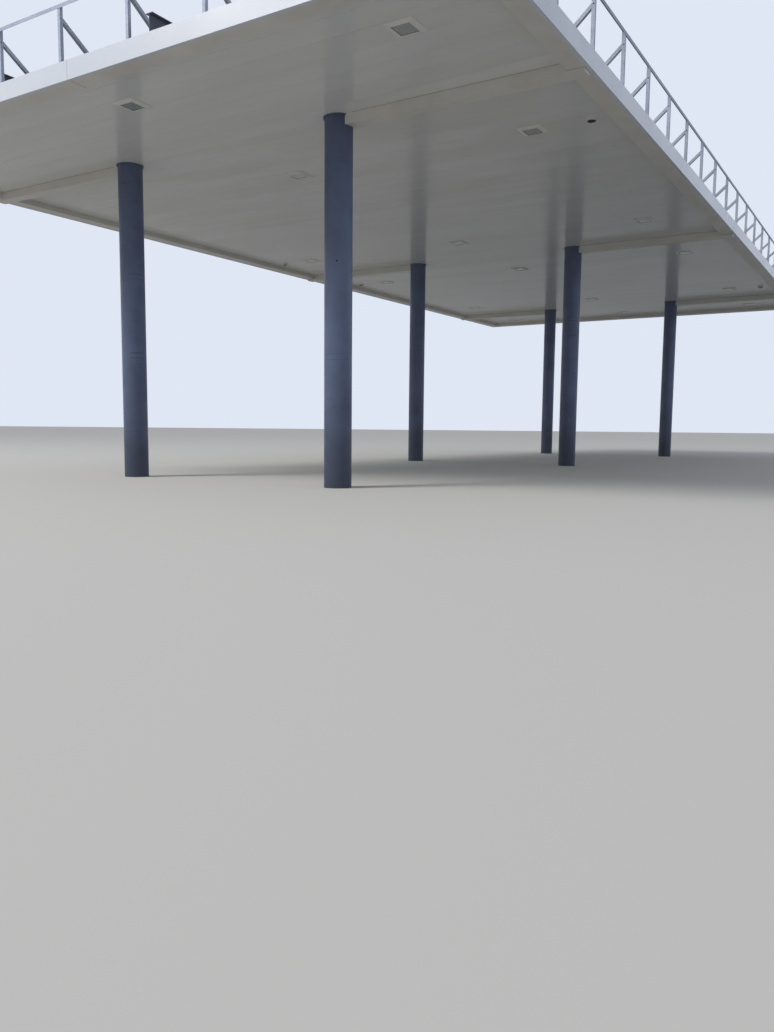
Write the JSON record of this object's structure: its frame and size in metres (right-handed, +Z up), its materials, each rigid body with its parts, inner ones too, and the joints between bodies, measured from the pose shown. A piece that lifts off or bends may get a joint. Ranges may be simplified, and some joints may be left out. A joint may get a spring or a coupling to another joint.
{
  "type": "filling station canopy",
  "caption": "Flat-deck filling station canopy on round steel columns, with a planked underside, recessed lights, edge gutters and an open unclad fascia frame.",
  "frame": {"origin": "on the level the columns stand on, under the middle of the deck", "axes": "+X across the canopy to its right-hand side, +Y along the canopy from front to rear, +Z up"},
  "size_m": [11.625, 25.475, 6.0454],
  "materials": {
    "column_paint": "satin dark slate blue paint",
    "primed_steel": "dark shop primer on rolled steel",
    "deck_white": "glossy white coil-coated steel pans",
    "white_trim": "satin white folded sheet",
    "band_silver": "pale silver coated aluminium sheet",
    "galvanised": "galvanised steel",
    "light_frame_white": "white powder-coated cast frame",
    "light_lens": "grey tempered flat lens",
    "camera_base": "pale housing",
    "camera_dome": "dark smoked dome"
  },
  "bodies": {
    "root": {"column_cap_plates": "primed_steel", "column_collars": "column_paint", "column_left_front": "column_paint", "column_left_middle": "column_paint", "column_left_rear": "column_paint", "column_right_front": "column_paint", "column_right_middle": "column_paint", "column_right_rear": "column_paint", "cross_beam_front": "primed_steel", "cross_beam_middle": "primed_steel", "cross_beam_rear": "primed_steel", "deck_pans_front_bay": "deck_white", "deck_pans_front_overhang": "deck_white", "deck_pans_rear_bay": "deck_white", "deck_pans_rear_overhang": "deck_white", "dome_camera_bases": "camera_base", "dome_camera_domes": "camera_dome", "drain_box_sleeves": "white_trim", "drain_boxes_left": "white_trim", "drain_boxes_right": "white_trim", "end_troughs": "white_trim", "fascia_band_front": "band_silver", "fascia_band_left": "band_silver", "fascia_band_rear": "band_silver", "fascia_band_right": "band_silver", "fascia_braces_front": "galvanised", "fascia_braces_left": "galvanised", "fascia_braces_rear": "galvanised", "fascia_braces_right": "galvanised", "fascia_corner_posts": "galvanised", "fascia_posts_front": "galvanised", "fascia_posts_left": "galvanised", "fascia_posts_rear": "galvanised", "fascia_posts_right": "galvanised", "fascia_top_rail_front": "galvanised", "fascia_top_rail_left": "galvanised", "fascia_top_rail_rear": "galvanised", "fascia_top_rail_right": "galvanised", "gutter_left": "white_trim", "gutter_right": "white_trim", "light_frames": "light_frame_white", "light_housings": "galvanised", "light_lenses": "light_lens", "purlin_cleats": "primed_steel", "purlins": "primed_steel"}
  },
  "joints": []
}
